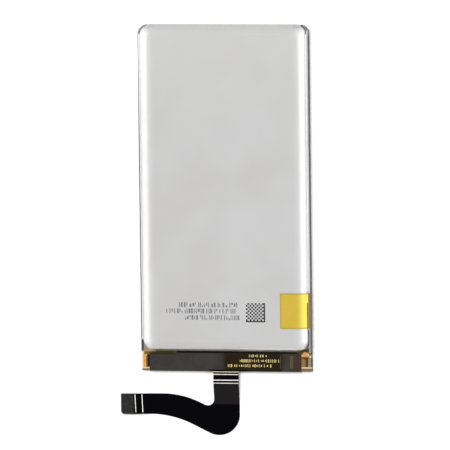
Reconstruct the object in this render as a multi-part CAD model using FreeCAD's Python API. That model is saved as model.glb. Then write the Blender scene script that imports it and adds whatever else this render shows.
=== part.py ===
import FreeCAD, Part
import math
import os

# Flat lithium-polymer pouch battery with a circuit strip on its sealed end and a flexible tail.
# Millimetres. X runs across the cell, +Y towards its plain end, +Z out of its drawn face.
# The origin is the centre of the cell's flat back, which is what it lies on.

# Pouch cell
CELL_WIDTH = 48.0             # across both folded side seals
CUP_LENGTH = 92.0             # plain end to sealed end, at the flat back
CELL_THICKNESS = 4.7
CUP_EDGE_RADIUS = 2.6         # rolled edge between the drawn face and its walls
CUP_CORNER_RADIUS = 3.2       # upright corners of the drawn cup
CUP_SIDE_DRAFT = 2.0          # degrees
CUP_PLAIN_END_DRAFT = 3.0     # degrees
CUP_SEALED_END_DRAFT = 7.8    # degrees
PLAIN_FOLD_RADIUS = 0.35      # where the laminate folds round the plain end
SEAL_THICKNESS = 0.25         # two laminate layers, fused
LEFT_SEAL_GAP = 0.10          # between the cup's wall and the folded seal
RIGHT_SEAL_GAP = 0.05
LEFT_SEAL_HEIGHT = 2.9
RIGHT_SEAL_HEIGHT = 3.3
LEFT_SEAL_LEAN = 0.0          # how far the seal's top leans in over the cell
RIGHT_SEAL_LEAN = 0.16
RIGHT_HEM_BOTTOM = 0.9        # the right seal's rim is folded down inside it to this height
HEM_TOP_RADIUS = 0.2
SEAL_FOLD_RADIUS = 0.45       # outside of the fold at the back
SEAL_STOPS_SHORT = 1.3        # the side seals end this far before the plain end
SEAL_TOP_CORNER = 2.2         # rounded corner at the plain end of each side seal
SEAL_UNDER_CUP = 1.0          # the side seals' laminate runs in under the cup's wall
TERRACE_LENGTH = 4.7          # sealed end, measured from the cup's foot
TERRACE_SIDE_STEP = 0.45      # the sealed end is narrower than the cell, at each side
TERRACE_CORNER_RADIUS = 1.0

# Tapes and films
TAPE_THICKNESS = 0.06
FILM_CLIMB = 2.1              # height that the terrace film reaches on the cup's end wall
FILM_ROOT_RADIUS = 0.3
WRAP_LEFT_OVERHANG = 0.52     # the wrap tape reaches this far beyond the sealed end's side
WRAP_RIGHT_OVERHANG = 0.38
WRAP_FOLD_RADIUS = 0.18
WRAP_FLAP_HEIGHT = 1.55       # top of the loose flaps that fold back over the sealed end
WRAP_FLAP_RADIUS = 0.6
WRAP_FLAP_END = 1.0           # the flaps stop this far before the cup's foot
SIDE_TAPE_FACE_REACH = 8.49   # how far the yellow patch runs in from the cell's right side
SIDE_TAPE_LENGTH = 10.05
SIDE_TAPE_FROM_FOOT = 6.95    # from the cup's foot to the patch's near edge
SIDE_TAPE_LOWER_EDGE = 0.5    # height of the patch's edge above the back
SIDE_TAPE_SEAT = 0.005        # adhesive between the patch and the pouch

# Circuit strip
STRIP_LEFT_STEP = 2.13        # from the cell's left side to the strip's end
STRIP_RIGHT_STEP = 3.07
STRIP_FROM_FOOT = 0.5         # from the cup's foot to the strip
STRIP_END_FROM_FOOT = 5.62    # from the cup's foot to the strip's outer edge
STRIP_TOP = 1.8               # height of the strip's upper face above the back
STRIP_CORNER_RADIUS = 0.3
BOARD_THICKNESS = 0.52
FLEX_THICKNESS = 0.18
PAD_THICKNESS = 0.10
PAD_END_STEP = 0.95           # the pad is shorter than the strip, at each end
PAD_EDGE_CLEARANCE = 0.12

# Tabs, their sealant and the plates that they are welded to
TAB_WIDTH = 5.0
TAB_THICKNESS = 0.10
TAB_SPACING = 22.0            # between the two tabs' centre lines
TAB_BEND_CLEARANCE = 0.05     # between the folded tab and the wrap tape
TAB_RETURN_LENGTH = 3.2       # straight part of the folded tab, under the board
SEALANT_OVERHANG = 0.22       # beyond the sealed end
SEALANT_MARGIN = 0.8          # each side of the tab
SEALANT_THICKNESS = 0.20
PLATE_LENGTH = 5.8
PLATE_WIDTH = 2.6
PLATE_THICKNESS = 0.15

# Protection circuit, on the underside of the board
CHIP_BODY = (2.9, 1.6)
CHIP_HEIGHT = 0.55
CHIP_LEAD_COUNT = 3           # along each long side
TRANSISTOR_BODY = (3.2, 1.9)
TRANSISTOR_LEAD_COUNT = 4
TRANSISTOR_COUNT = 2
TRANSISTOR_SPACING = 3.8
FUSE_BODY = (4.2, 2.3)
FUSE_TERMINAL_WIDTH = 1.5
SENSE_RESISTOR_BODY = (2.0, 1.25, 0.45)
THERMISTOR_BODY = (1.6, 0.8, 0.55)
SMALL_RESISTOR_BODY = (1.0, 0.5, 0.35)
SMALL_RESISTOR_COUNT = 3
SMALL_CAPACITOR_BODY = (1.0, 0.5, 0.50)
SMALL_CAPACITOR_COUNT = 3
SMALL_PART_PITCH = 0.8
PART_GAP = 0.7                # between neighbouring groups of parts, outside the weld plates
END_CAP_LENGTH = 0.25
END_CAP_RAISE = 0.03
LEAD_THICKNESS = 0.12
LEAD_WIDTH = 0.30
LEAD_REACH = 0.35
LEAD_PITCH = 0.75
CHIP_TOP_CHAMFER = 0.12

# Flexible tail
TAIL_WIDTH = 7.15             # of the leg that leaves the strip
TAIL_CENTRE_X = -0.35
TAIL_STRAIGHT = 3.83          # the leg runs level this far beyond the strip before it dips
TAIL_DIP_LENGTH = 5.6         # length over which it comes down to the back's level
TAIL_BEND_RADIUS = 4.0
TAIL_LOWEST = 18.35           # strip's outer edge to the elbow's lowest point
ELBOW_OUTER_RADIUS = 5.9
ELBOW_INNER_RADIUS = 1.9
TAIL_ROOT_RADIUS = 0.4
ARM_SLANT = 26.7              # degrees, of the stretch between elbow and arm
SLANT_WIDTH = 6.5
ARM_WIDTH = 5.8
ARM_FROM_STRIP = 9.58         # strip's outer edge to the arm's centre line
ARM_LOWER_SWEEP = 27.0        # radii of the arm's two long curves
ARM_UPPER_SWEEP = 23.6
ARM_END_X = -30.27
ARM_RAMP_LENGTH = 5.8         # length over which the arm rises to the plug
ARM_RAMP_RADIUS = 6.0
ARM_FAR_CORNER = 0.9
ARM_NEAR_CORNER = 0.3

# Plug at the tail's end
PLUG_PAD_LENGTH = 3.55
STIFFENER_THICKNESS = 0.20
HOUSING_WIDTH = 2.5
HOUSING_LENGTH = 4.9
HOUSING_HEIGHT = 0.75
HOUSING_CORNER = 0.15
HOUSING_WALL = 0.62
POCKET_DEPTH = 0.48
CONTACT_COUNT = 4             # in each of two rows
CONTACT_PITCH = 0.85
CONTACT_WIDTH = 0.42
CONTACT_THICKNESS = 0.10
CONTACT_FOOT = 0.30
CONTACT_LIP = 0.42            # height of the contact's inner face
CONTACT_BEND = 0.12
HOLD_DOWN_WIDTH = 1.5
HOLD_DOWN_LIP = 0.30

# Working values
PICK = 0.01                   # edges this near to a plane count as lying on it
SPARE = 1.0                   # helper shapes reach this far beyond what they trim
LEAST_LENGTH = 0.001          # shortest straight left between two bends

# Places worked out from the sizes above
TERRACE_WIDTH = CELL_WIDTH - 2 * TERRACE_SIDE_STEP
WRAP_LEFT = -TERRACE_WIDTH / 2 - WRAP_LEFT_OVERHANG
WRAP_RIGHT = TERRACE_WIDTH / 2 + WRAP_RIGHT_OVERHANG
RIGHT = CELL_WIDTH / 2
STRIP_LEFT = -RIGHT + STRIP_LEFT_STEP
STRIP_RIGHT = RIGHT - STRIP_RIGHT_STEP
STRIP_CENTRE = (STRIP_LEFT + STRIP_RIGHT) / 2
CUP_LEFT = -RIGHT + SEAL_THICKNESS + LEFT_SEAL_GAP
CUP_RIGHT = RIGHT - 2 * SEAL_THICKNESS - RIGHT_SEAL_GAP
PLAIN_END = CUP_LENGTH / 2
FOOT = -CUP_LENGTH / 2
TERRACE_END = FOOT - TERRACE_LENGTH
TERRACE_BOTTOM = TAPE_THICKNESS
TERRACE_TOP = TERRACE_BOTTOM + SEAL_THICKNESS
FILM_TOP = TERRACE_TOP + TAPE_THICKNESS
PAD_TOP = FILM_TOP + PAD_THICKNESS
STRIP_INNER = FOOT - STRIP_FROM_FOOT
STRIP_OUTER = FOOT - STRIP_END_FROM_FOOT
FLEX_BOTTOM = STRIP_TOP - FLEX_THICKNESS
BOARD_BOTTOM = FLEX_BOTTOM - BOARD_THICKNESS
BOARD_OUTER = STRIP_OUTER + TAPE_THICKNESS
PART_ROOM = BOARD_BOTTOM - PAD_TOP
TAB_BEND_OUTER = BOARD_OUTER + TAB_BEND_CLEARANCE
TAB_EXIT_HEIGHT = (TERRACE_BOTTOM + TERRACE_TOP) / 2
TAB_RETURN_TOP = BOARD_BOTTOM - PLATE_THICKNESS
STRIP_MIDDLE = (STRIP_INNER + BOARD_OUTER) / 2
PLUG_X = ARM_END_X + PLUG_PAD_LENGTH / 2
ARM_Y = STRIP_OUTER - ARM_FROM_STRIP


def on_plan(height):
    """Maps drawing coordinates to a level plane: u is X, v is Y."""
    return lambda u, v: FreeCAD.Vector(u, v, height)


def on_side(x):
    """Maps drawing coordinates to a plane across X: u is Y, v is Z."""
    return lambda u, v: FreeCAD.Vector(x, u, v)


def on_end(y):
    """Maps drawing coordinates to a plane across Y: u is X, v is Z."""
    return lambda u, v: FreeCAD.Vector(u, y, v)


def unit(a, b):
    """Unit vector from point a to point b, both as pairs."""
    length = math.hypot(b[0] - a[0], b[1] - a[1])
    return (b[0] - a[0]) / length, (b[1] - a[1]) / length


def corner_arc(before, corner, after, radius):
    """Start, middle and end of the arc that rounds one corner."""
    to_before = unit(corner, before)
    to_after = unit(corner, after)
    half = math.acos(to_before[0] * to_after[0] + to_before[1] * to_after[1]) / 2
    middle = unit((0, 0), (to_before[0] + to_after[0], to_before[1] + to_after[1]))
    setback = radius / math.tan(half)
    inset = radius / math.sin(half) - radius
    start = (corner[0] + to_before[0] * setback, corner[1] + to_before[1] * setback)
    centre = (corner[0] + middle[0] * inset, corner[1] + middle[1] * inset)
    end = (corner[0] + to_after[0] * setback, corner[1] + to_after[1] * setback)
    return start, centre, end


def rounded_edges(corners, place, closed):
    """Edges of a line through (u, v, radius) corners, each rounded by its radius."""
    edges = []
    count = len(corners)
    last = None
    first = None
    for index, (u, v, radius) in enumerate(corners):
        is_end = not closed and index in (0, count - 1)
        if is_end or radius <= 0:
            start = middle = end = (u, v)
        else:
            before = corners[index - 1]
            after = corners[(index + 1) % count]
            start, middle, end = corner_arc(before, (u, v), after, radius)
        if last is not None:
            edges.append(Part.LineSegment(place(*last), place(*start)).toShape())
        if start != end:
            edges.append(Part.Arc(place(*start), place(*middle), place(*end)).toShape())
        if first is None:
            first = start
        last = end
    if closed:
        edges.append(Part.LineSegment(place(*last), place(*first)).toShape())
    return edges


def outline(corners, place):
    """Flat face inside a closed line of (u, v, radius) corners."""
    return Part.Face(Part.Wire(rounded_edges(corners, place, True)))


def strip(corners, thickness, place):
    """Flat face of a bent strip: the line through the corners is its right-hand side."""
    shifted = []
    count = len(corners)
    for index, (u, v, radius) in enumerate(corners):
        point = (u, v)
        came = unit(corners[index - 1], point) if index > 0 else unit(point, corners[1])
        goes = unit(point, corners[index + 1]) if index < count - 1 else came
        normal = (-came[1] - goes[1], came[0] + goes[0])
        scale = thickness / (1 + came[0] * goes[0] + came[1] * goes[1])
        turns_left = came[0] * goes[1] - came[1] * goes[0] > 0
        new_radius = max(radius - thickness, 0) if turns_left else radius + thickness
        shifted.append((u + normal[0] * scale, v + normal[1] * scale, new_radius))
    near = rounded_edges(corners, place, False)
    far = rounded_edges(shifted, place, False)
    start_cap = Part.LineSegment(place(*corners[0][:2]), place(*shifted[0][:2])).toShape()
    end_cap = Part.LineSegment(place(*corners[-1][:2]), place(*shifted[-1][:2])).toShape()
    return Part.Face(Part.Wire(Part.__sortEdges__(near + far + [start_cap, end_cap])))


def turned(corners):
    """The same corners in reverse order, so that a strip lies on the line's other side."""
    return corners[::-1]


def block(low, high):
    """Box between two opposite corners."""
    size = [b - a for a, b in zip(low, high)]
    return Part.makeBox(*size, FreeCAD.Vector(*low))


def rounded_block(low, high, radius):
    """Box whose four upright edges are rounded."""
    corners = [(low[0], low[1], radius), (high[0], low[1], radius)]
    corners += [(high[0], high[1], radius), (low[0], high[1], radius)]
    return outline(corners, on_plan(low[2])).extrude(FreeCAD.Vector(0, 0, high[2] - low[2]))


def across(face, width):
    """Solid from a side-plane face, reaching the given width along X."""
    return face.extrude(FreeCAD.Vector(width, 0, 0))


def join(shapes):
    """One solid from shapes that touch or overlap."""
    return shapes[0].fuse(shapes[1:]).removeSplitter()


def save(name, shape):
    """Writes one node's file."""
    shape.exportStep(os.path.join("parts", name + ".step"))


def rise(length, degrees):
    """How far a wall leans over a given height."""
    return length * math.tan(math.radians(degrees))


def cup():
    """Drawn cup: drafted walls, round corners and a rolled edge round the face."""
    height = CELL_THICKNESS
    side_lean = rise(height, CUP_SIDE_DRAFT)
    foot_lean = rise(height, CUP_SEALED_END_DRAFT)
    plain_lean = rise(height, CUP_PLAIN_END_DRAFT)
    from_end = [(CUP_LEFT, 0, 0), (CUP_RIGHT, 0, 0)]
    from_end += [(CUP_RIGHT - side_lean, height, 0), (CUP_LEFT + side_lean, height, 0)]
    from_side = [(FOOT, 0, 0), (PLAIN_END, 0, 0)]
    from_side += [(PLAIN_END - plain_lean, height, 0), (FOOT + foot_lean, height, 0)]
    lengthwise = outline(from_end, on_end(FOOT)).extrude(FreeCAD.Vector(0, CUP_LENGTH, 0))
    body = lengthwise.common(across(outline(from_side, on_side(CUP_LEFT)), CUP_RIGHT - CUP_LEFT))
    upright = [e for e in body.Edges if e.BoundBox.ZLength > height - PICK]
    body = body.makeFillet(CUP_CORNER_RADIUS, upright)
    face_edges = [e for e in body.Edges if e.BoundBox.ZMin > height - PICK]
    body = body.makeFillet(CUP_EDGE_RADIUS, face_edges)
    fold_edges = [
        e for e in body.Edges
        if e.BoundBox.ZMax < PICK and e.BoundBox.YMin > PLAIN_END - PICK
    ]
    return body.makeFillet(PLAIN_FOLD_RADIUS, fold_edges)


def side_seal(side, height, lean, cup_wall, hem_bottom=None):
    """Side seal folded up along the cup, with or without a hem. side is 1 on the right, -1 on the left."""

    def wall_x(level, depth):
        return side * (RIGHT - lean * level / height - depth)

    one, two = SEAL_THICKNESS, 2 * SEAL_THICKNESS
    inside = cup_wall - side * SEAL_UNDER_CUP
    corners = [(inside, 0, 0), (wall_x(0, 0), 0, SEAL_FOLD_RADIUS), (wall_x(height, 0), height, 0)]
    if hem_bottom is None:
        corners.append((wall_x(height, one), height, 0))
    else:
        corners[-1] = (wall_x(height, 0), height, HEM_TOP_RADIUS)
        corners.append((wall_x(height, two), height, HEM_TOP_RADIUS))
        corners += [(wall_x(hem_bottom, two), hem_bottom, 0), (wall_x(hem_bottom, one), hem_bottom, 0)]
    corners += [(wall_x(one, one), one, SEAL_FOLD_RADIUS - one), (inside, one, 0)]
    length = CUP_LENGTH - SEAL_STOPS_SHORT
    seal = outline(corners, on_end(FOOT)).extrude(FreeCAD.Vector(0, length, 0))
    low, high = FOOT - SPARE, FOOT + length
    corner = min(SEAL_TOP_CORNER, height - SEAL_FOLD_RADIUS - LEAST_LENGTH)
    profile = [(low, -SPARE, 0), (high, -SPARE, 0), (high, height, corner), (low, height, 0)]
    return seal.common(across(outline(profile, on_side(-CELL_WIDTH)), 2 * CELL_WIDTH))


def terrace():
    """Flat sealed end, set up from the back by the thickness of the tape under it."""
    half = TERRACE_WIDTH / 2
    radius = TERRACE_CORNER_RADIUS
    inside = FOOT + TERRACE_LENGTH / 2
    corners = [(-half, TERRACE_END, radius), (half, TERRACE_END, radius), (half, FOOT, 0)]
    corners += [(CUP_RIGHT - radius, inside, 0), (CUP_LEFT + radius, inside, 0), (-half, FOOT, 0)]
    return outline(corners, on_plan(TERRACE_BOTTOM)).extrude(FreeCAD.Vector(0, 0, SEAL_THICKNESS))


def pouch_cell():
    """The sealed pouch as one solid."""
    left = side_seal(-1, LEFT_SEAL_HEIGHT, LEFT_SEAL_LEAN, CUP_LEFT)
    right = side_seal(1, RIGHT_SEAL_HEIGHT, RIGHT_SEAL_LEAN, CUP_RIGHT, RIGHT_HEM_BOTTOM)
    return join([cup(), left, right, terrace()])


def cup_foot(height):
    """Y of the cup's end wall at a height above the back."""
    return FOOT + rise(height, CUP_SEALED_END_DRAFT)


def terrace_film():
    """Film that covers the sealed end and turns up the cup's end wall."""
    flat_half = min(-CUP_LEFT, CUP_RIGHT) - CUP_CORNER_RADIUS
    root = cup_foot(TERRACE_TOP)
    corners = [(TERRACE_END, TERRACE_TOP, 0), (root, TERRACE_TOP, FILM_ROOT_RADIUS)]
    corners.append((cup_foot(FILM_CLIMB), FILM_CLIMB, 0))
    climbing = across(strip(corners, TAPE_THICKNESS, on_side(-flat_half)), 2 * flat_half)
    half = TERRACE_WIDTH / 2
    level = [(-half, TERRACE_END, TERRACE_CORNER_RADIUS), (half, TERRACE_END, TERRACE_CORNER_RADIUS)]
    level += [(half, FOOT - FILM_ROOT_RADIUS, 0), (-half, FOOT - FILM_ROOT_RADIUS, 0)]
    sheet = outline(level, on_plan(TERRACE_TOP)).extrude(FreeCAD.Vector(0, 0, TAPE_THICKNESS))
    return join([climbing, sheet])


def wrap_tape():
    """Tape under the sealed end and up the strip's edge, slit and folded back at both ends."""
    inner = FOOT - TAPE_THICKNESS
    upright = [(inner, 0, 0), (STRIP_OUTER, 0, WRAP_FOLD_RADIUS), (STRIP_OUTER, FLEX_BOTTOM, 0)]
    top = WRAP_FLAP_HEIGHT
    folded = [(inner, 0, 0), (STRIP_OUTER, 0, WRAP_FOLD_RADIUS)]
    folded += [(STRIP_OUTER, top, WRAP_FLAP_RADIUS), (FOOT - WRAP_FLAP_END, top, 0)]
    length = STRIP_RIGHT - STRIP_LEFT
    pieces = [across(strip(turned(upright), TAPE_THICKNESS, on_side(STRIP_LEFT)), length)]
    for start, end in ((WRAP_LEFT, STRIP_LEFT), (STRIP_RIGHT, WRAP_RIGHT)):
        flap = strip(turned(folded), TAPE_THICKNESS, on_side(start))
        pieces.append(across(flap, end - start))
    return join(pieces)


def side_tape():
    """Patch from the face, over the rolled edge and the folded seal, down the right side."""
    roll_height = CELL_THICKNESS - CUP_EDGE_RADIUS
    wall_inset = rise(roll_height, CUP_SIDE_DRAFT) + CUP_EDGE_RADIUS / math.cos(math.radians(CUP_SIDE_DRAFT))
    centre = (CUP_RIGHT - wall_inset, roll_height)
    roll = CUP_EDGE_RADIUS + SIDE_TAPE_SEAT
    level = CELL_THICKNESS + SIDE_TAPE_SEAT
    shoulder = (RIGHT - RIGHT_SEAL_LEAN + SIDE_TAPE_SEAT, RIGHT_SEAL_HEIGHT + SIDE_TAPE_SEAT)
    edge_lean = RIGHT_SEAL_LEAN * SIDE_TAPE_LOWER_EDGE / RIGHT_SEAL_HEIGHT
    distance = math.hypot(shoulder[0] - centre[0], shoulder[1] - centre[1])
    heading = math.atan2(shoulder[1] - centre[1], shoulder[0] - centre[0])
    touch = heading + math.acos(roll / distance)
    bend_x = centre[0] + roll * math.tan((math.pi / 2 - touch) / 2)
    corners = [(RIGHT - SIDE_TAPE_FACE_REACH, level, 0), (bend_x, level, roll)]
    corners += [(*shoulder, 0), (RIGHT - edge_lean + SIDE_TAPE_SEAT, SIDE_TAPE_LOWER_EDGE, 0)]
    start = FOOT + SIDE_TAPE_FROM_FOOT
    face = strip(corners, TAPE_THICKNESS, on_end(start))
    return face.extrude(FreeCAD.Vector(0, SIDE_TAPE_LENGTH, 0))


def insulating_pad():
    """Thin pad between the film and the circuit parts."""
    low = (STRIP_LEFT + PAD_END_STEP, TERRACE_END + PAD_EDGE_CLEARANCE, FILM_TOP)
    high = (STRIP_RIGHT - PAD_END_STEP, STRIP_INNER - PAD_EDGE_CLEARANCE, PAD_TOP)
    return rounded_block(low, high, STRIP_CORNER_RADIUS)


def protection_board():
    """Rigid backing of the strip."""
    low = (STRIP_LEFT, BOARD_OUTER, BOARD_BOTTOM)
    return rounded_block(low, (STRIP_RIGHT, STRIP_INNER, FLEX_BOTTOM), STRIP_CORNER_RADIUS)


def tab(x):
    """Strip that leaves the seal, folds back and lies under its weld plate."""
    bottom = TAB_EXIT_HEIGHT - TAB_THICKNESS / 2
    bend = (TAB_RETURN_TOP - bottom) / 2 - LEAST_LENGTH
    back = TAB_BEND_OUTER + bend + TAB_RETURN_LENGTH
    corners = [(TERRACE_END, bottom, 0), (TAB_BEND_OUTER, bottom, bend)]
    corners += [(TAB_BEND_OUTER, TAB_RETURN_TOP, bend), (back, TAB_RETURN_TOP, 0)]
    face = strip(turned(corners), TAB_THICKNESS, on_side(x - TAB_WIDTH / 2))
    return across(face, TAB_WIDTH)


def tab_sealant(x):
    """Collar of sealing film round a tab where it leaves the seal."""
    half = TAB_WIDTH / 2 + SEALANT_MARGIN
    low = (x - half, TERRACE_END - SEALANT_OVERHANG, TAB_EXIT_HEIGHT - SEALANT_THICKNESS / 2)
    high = (x + half, TERRACE_END, TAB_EXIT_HEIGHT + SEALANT_THICKNESS / 2)
    slot = block(
        (x - TAB_WIDTH / 2, low[1], TAB_EXIT_HEIGHT - TAB_THICKNESS / 2),
        (x + TAB_WIDTH / 2, high[1], TAB_EXIT_HEIGHT + TAB_THICKNESS / 2),
    )
    return block(low, high).cut(slot)


def weld_plate(x):
    """Plate on the board's underside that a tab is welded to."""
    low = (x - PLATE_LENGTH / 2, STRIP_MIDDLE - PLATE_WIDTH / 2, TAB_RETURN_TOP)
    high = (x + PLATE_LENGTH / 2, STRIP_MIDDLE + PLATE_WIDTH / 2, BOARD_BOTTOM)
    return rounded_block(low, high, STRIP_CORNER_RADIUS)


def capped_part(x, y, body):
    """Chip part under the board, with a raised cap at each end."""
    length, width, height = body
    low = (x - length / 2, y - width / 2, BOARD_BOTTOM - height + END_CAP_RAISE)
    core = block(low, (x + length / 2, y + width / 2, BOARD_BOTTOM - END_CAP_RAISE))
    pieces = [core]
    for start in (x - length / 2, x + length / 2 - END_CAP_LENGTH):
        cap_low = (start, low[1] - END_CAP_RAISE, low[2] - END_CAP_RAISE)
        cap_high = (start + END_CAP_LENGTH, y + width / 2 + END_CAP_RAISE, BOARD_BOTTOM)
        pieces.append(block(cap_low, cap_high))
    return join(pieces)


def leaded_part(x, y, body, height, leads):
    """Moulded package under the board, with leads along both long sides."""
    length, width = body
    low = (x - length / 2, y - width / 2, BOARD_BOTTOM - height)
    moulding = block(low, (x + length / 2, y + width / 2, BOARD_BOTTOM - LEAD_THICKNESS / 2))
    rim = [e for e in moulding.Edges if e.BoundBox.ZMax < low[2] + PICK]
    pieces = [moulding.makeChamfer(CHIP_TOP_CHAMFER, rim)]
    for index in range(leads):
        lead_x = x + (index - (leads - 1) / 2) * LEAD_PITCH
        reach = width / 2 + LEAD_REACH
        lead_low = (lead_x - LEAD_WIDTH / 2, y - reach, BOARD_BOTTOM - LEAD_THICKNESS)
        pieces.append(block(lead_low, (lead_x + LEAD_WIDTH / 2, y + reach, BOARD_BOTTOM)))
    return join(pieces)


def upright_part(x, y, body):
    """Chip part under the board that lies along Y."""
    solid = capped_part(x, y, body)
    solid.rotate(FreeCAD.Vector(x, y, 0), FreeCAD.Vector(0, 0, 1), 90)
    return solid


def part_row(x, y, body, count):
    """Chip parts side by side from x on, as separate solids."""
    first = x + body[1] / 2
    solids = [upright_part(first + index * SMALL_PART_PITCH, y, body) for index in range(count)]
    return Part.makeCompound(solids)


def row_width(body, count):
    """Length that a row of chip parts takes up along the board."""
    return (count - 1) * SMALL_PART_PITCH + body[1]


def thermal_fuse(x, y):
    """Flat cut-out with a plate-like terminal at each end."""
    length, width = FUSE_BODY
    low = (x - length / 2, y - width / 2, BOARD_BOTTOM - PART_ROOM)
    high = (x + length / 2, y + width / 2, BOARD_BOTTOM - LEAD_THICKNESS)
    pieces = [rounded_block(low, high, STRIP_CORNER_RADIUS)]
    for start in (x - length / 2 - LEAD_REACH, x + length / 2 - LEAD_REACH):
        foot = (start, y - FUSE_TERMINAL_WIDTH / 2, BOARD_BOTTOM - LEAD_THICKNESS)
        end = (start + 2 * LEAD_REACH, y + FUSE_TERMINAL_WIDTH / 2, BOARD_BOTTOM)
        pieces.append(block(foot, end))
    return join(pieces)


def circuit_parts():
    """The protection circuit: three groups spread between the weld plates, the rest beside them."""
    y = STRIP_MIDDLE
    plate_in = TAB_SPACING / 2 - PLATE_LENGTH / 2
    plate_out = TAB_SPACING / 2 + PLATE_LENGTH / 2
    pair_length = (TRANSISTOR_COUNT - 1) * TRANSISTOR_SPACING + TRANSISTOR_BODY[0]
    capacitors_length = row_width(SMALL_CAPACITOR_BODY, SMALL_CAPACITOR_COUNT)
    inner_groups = [pair_length, CHIP_BODY[0], capacitors_length]
    inner_gap = (2 * plate_in - sum(inner_groups)) / (len(inner_groups) + 1)
    inner_start = STRIP_CENTRE - plate_in
    first_transistor = inner_start + inner_gap + TRANSISTOR_BODY[0] / 2
    chip_start = inner_start + inner_gap + pair_length + inner_gap
    capacitors_x = chip_start + CHIP_BODY[0] + inner_gap
    fuse_x = STRIP_CENTRE + plate_out + PART_GAP + LEAD_REACH + FUSE_BODY[0] / 2
    sense_x = STRIP_CENTRE - plate_out - PART_GAP - SENSE_RESISTOR_BODY[0] / 2
    resistors_x = sense_x - SENSE_RESISTOR_BODY[0] / 2 - PART_GAP
    resistors_x -= row_width(SMALL_RESISTOR_BODY, SMALL_RESISTOR_COUNT)
    thermistor_x = resistors_x - PART_GAP - THERMISTOR_BODY[1] / 2
    transistors = []
    for index in range(TRANSISTOR_COUNT):
        x = first_transistor + index * TRANSISTOR_SPACING
        transistors.append(leaded_part(x, y, TRANSISTOR_BODY, PART_ROOM, TRANSISTOR_LEAD_COUNT))
    chip_x = chip_start + CHIP_BODY[0] / 2
    return {
        "switch_transistors": Part.makeCompound(transistors),
        "protection_chip": leaded_part(chip_x, y, CHIP_BODY, CHIP_HEIGHT, CHIP_LEAD_COUNT),
        "chip_capacitors": part_row(capacitors_x, y, SMALL_CAPACITOR_BODY, SMALL_CAPACITOR_COUNT),
        "thermal_fuse": thermal_fuse(fuse_x, y),
        "sense_resistor": capped_part(sense_x, y, SENSE_RESISTOR_BODY),
        "chip_resistors": part_row(resistors_x, y, SMALL_RESISTOR_BODY, SMALL_RESISTOR_COUNT),
        "thermistor": upright_part(thermistor_x, y, THERMISTOR_BODY),
    }


def tail_corners():
    """Corners of the flexible circuit's outline, strip and tail in one."""
    leg_left, leg_right = TAIL_CENTRE_X - TAIL_WIDTH / 2, TAIL_CENTRE_X + TAIL_WIDTH / 2
    slant = math.radians(ARM_SLANT)
    across_slant = (-math.sin(slant), -math.cos(slant))
    centre = (leg_right - ELBOW_OUTER_RADIUS, STRIP_OUTER - TAIL_LOWEST + ELBOW_OUTER_RADIUS)
    lower = across_slant[0] * centre[0] + across_slant[1] * centre[1] + ELBOW_OUTER_RADIUS
    upper = lower - SLANT_WIDTH

    def slant_y(level, x):
        return (level - across_slant[0] * x) / across_slant[1]

    def slant_x(level, y):
        return (level - across_slant[1] * y) / across_slant[0]

    arm_low, arm_high = ARM_Y - ARM_WIDTH / 2, ARM_Y + ARM_WIDTH / 2
    return [
        (STRIP_LEFT, STRIP_INNER, STRIP_CORNER_RADIUS),
        (STRIP_LEFT, STRIP_OUTER, STRIP_CORNER_RADIUS),
        (leg_left, STRIP_OUTER, TAIL_ROOT_RADIUS),
        (leg_left, slant_y(upper, leg_left), ELBOW_INNER_RADIUS),
        (slant_x(upper, arm_high), arm_high, ARM_UPPER_SWEEP),
        (ARM_END_X, arm_high, ARM_NEAR_CORNER),
        (ARM_END_X, arm_low, ARM_FAR_CORNER),
        (slant_x(lower, arm_low), arm_low, ARM_LOWER_SWEEP),
        (leg_right, slant_y(lower, leg_right), ELBOW_OUTER_RADIUS),
        (leg_right, STRIP_OUTER, TAIL_ROOT_RADIUS),
        (STRIP_RIGHT, STRIP_OUTER, STRIP_CORNER_RADIUS),
        (STRIP_RIGHT, STRIP_INNER, STRIP_CORNER_RADIUS),
    ]


def notch_bottom():
    """Lowest point of the inner elbow: the tail is flat from there on."""
    before, corner, after = tail_corners()[2:5]
    start = corner_arc(before, corner[:2], after, ELBOW_INNER_RADIUS)[0]
    return start[0] - ELBOW_INNER_RADIUS, start[1] - ELBOW_INNER_RADIUS


def flex_circuit():
    """Flexible circuit: level on the board, dips to the back's level, runs left, rises to the plug."""
    plan = outline(tail_corners(), on_plan(0)).extrude(FreeCAD.Vector(0, 0, STRIP_TOP))
    split_x, split_y = notch_bottom()
    far_x, far_y = CELL_WIDTH, STRIP_OUTER - TAIL_LOWEST - SPARE
    dip_start = STRIP_OUTER - TAIL_STRAIGHT
    dip = [(far_y, 0, 0), (dip_start - TAIL_DIP_LENGTH, 0, TAIL_BEND_RADIUS)]
    dip += [(dip_start, FLEX_BOTTOM, TAIL_BEND_RADIUS), (FOOT, FLEX_BOTTOM, 0)]
    leg_sheet = across(strip(dip, FLEX_THICKNESS, on_side(-far_x)), 2 * far_x)
    level_end = ARM_END_X + PLUG_PAD_LENGTH
    half_slope = math.atan2(HOUSING_HEIGHT, ARM_RAMP_LENGTH) / 2
    ramp_top = level_end + ARM_RAMP_RADIUS * math.tan(half_slope)
    ramp = [(ARM_END_X - SPARE, HOUSING_HEIGHT, 0), (ramp_top, HOUSING_HEIGHT, ARM_RAMP_RADIUS)]
    ramp += [(ramp_top + ARM_RAMP_LENGTH, 0, ARM_RAMP_RADIUS), (far_x, 0, 0)]
    arm_sheet = strip(ramp, FLEX_THICKNESS, on_end(far_y)).extrude(FreeCAD.Vector(0, -far_y, 0))
    strip_zone = block((-far_x, dip_start, 0), (far_x, 0, STRIP_TOP))
    leg_zone = block((split_x, split_y, 0), (far_x, dip_start, STRIP_TOP)).fuse(strip_zone)
    leg = plan.common(leg_sheet).common(leg_zone)
    arm = plan.common(arm_sheet).cut(leg_zone)
    return join([leg, arm])


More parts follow.
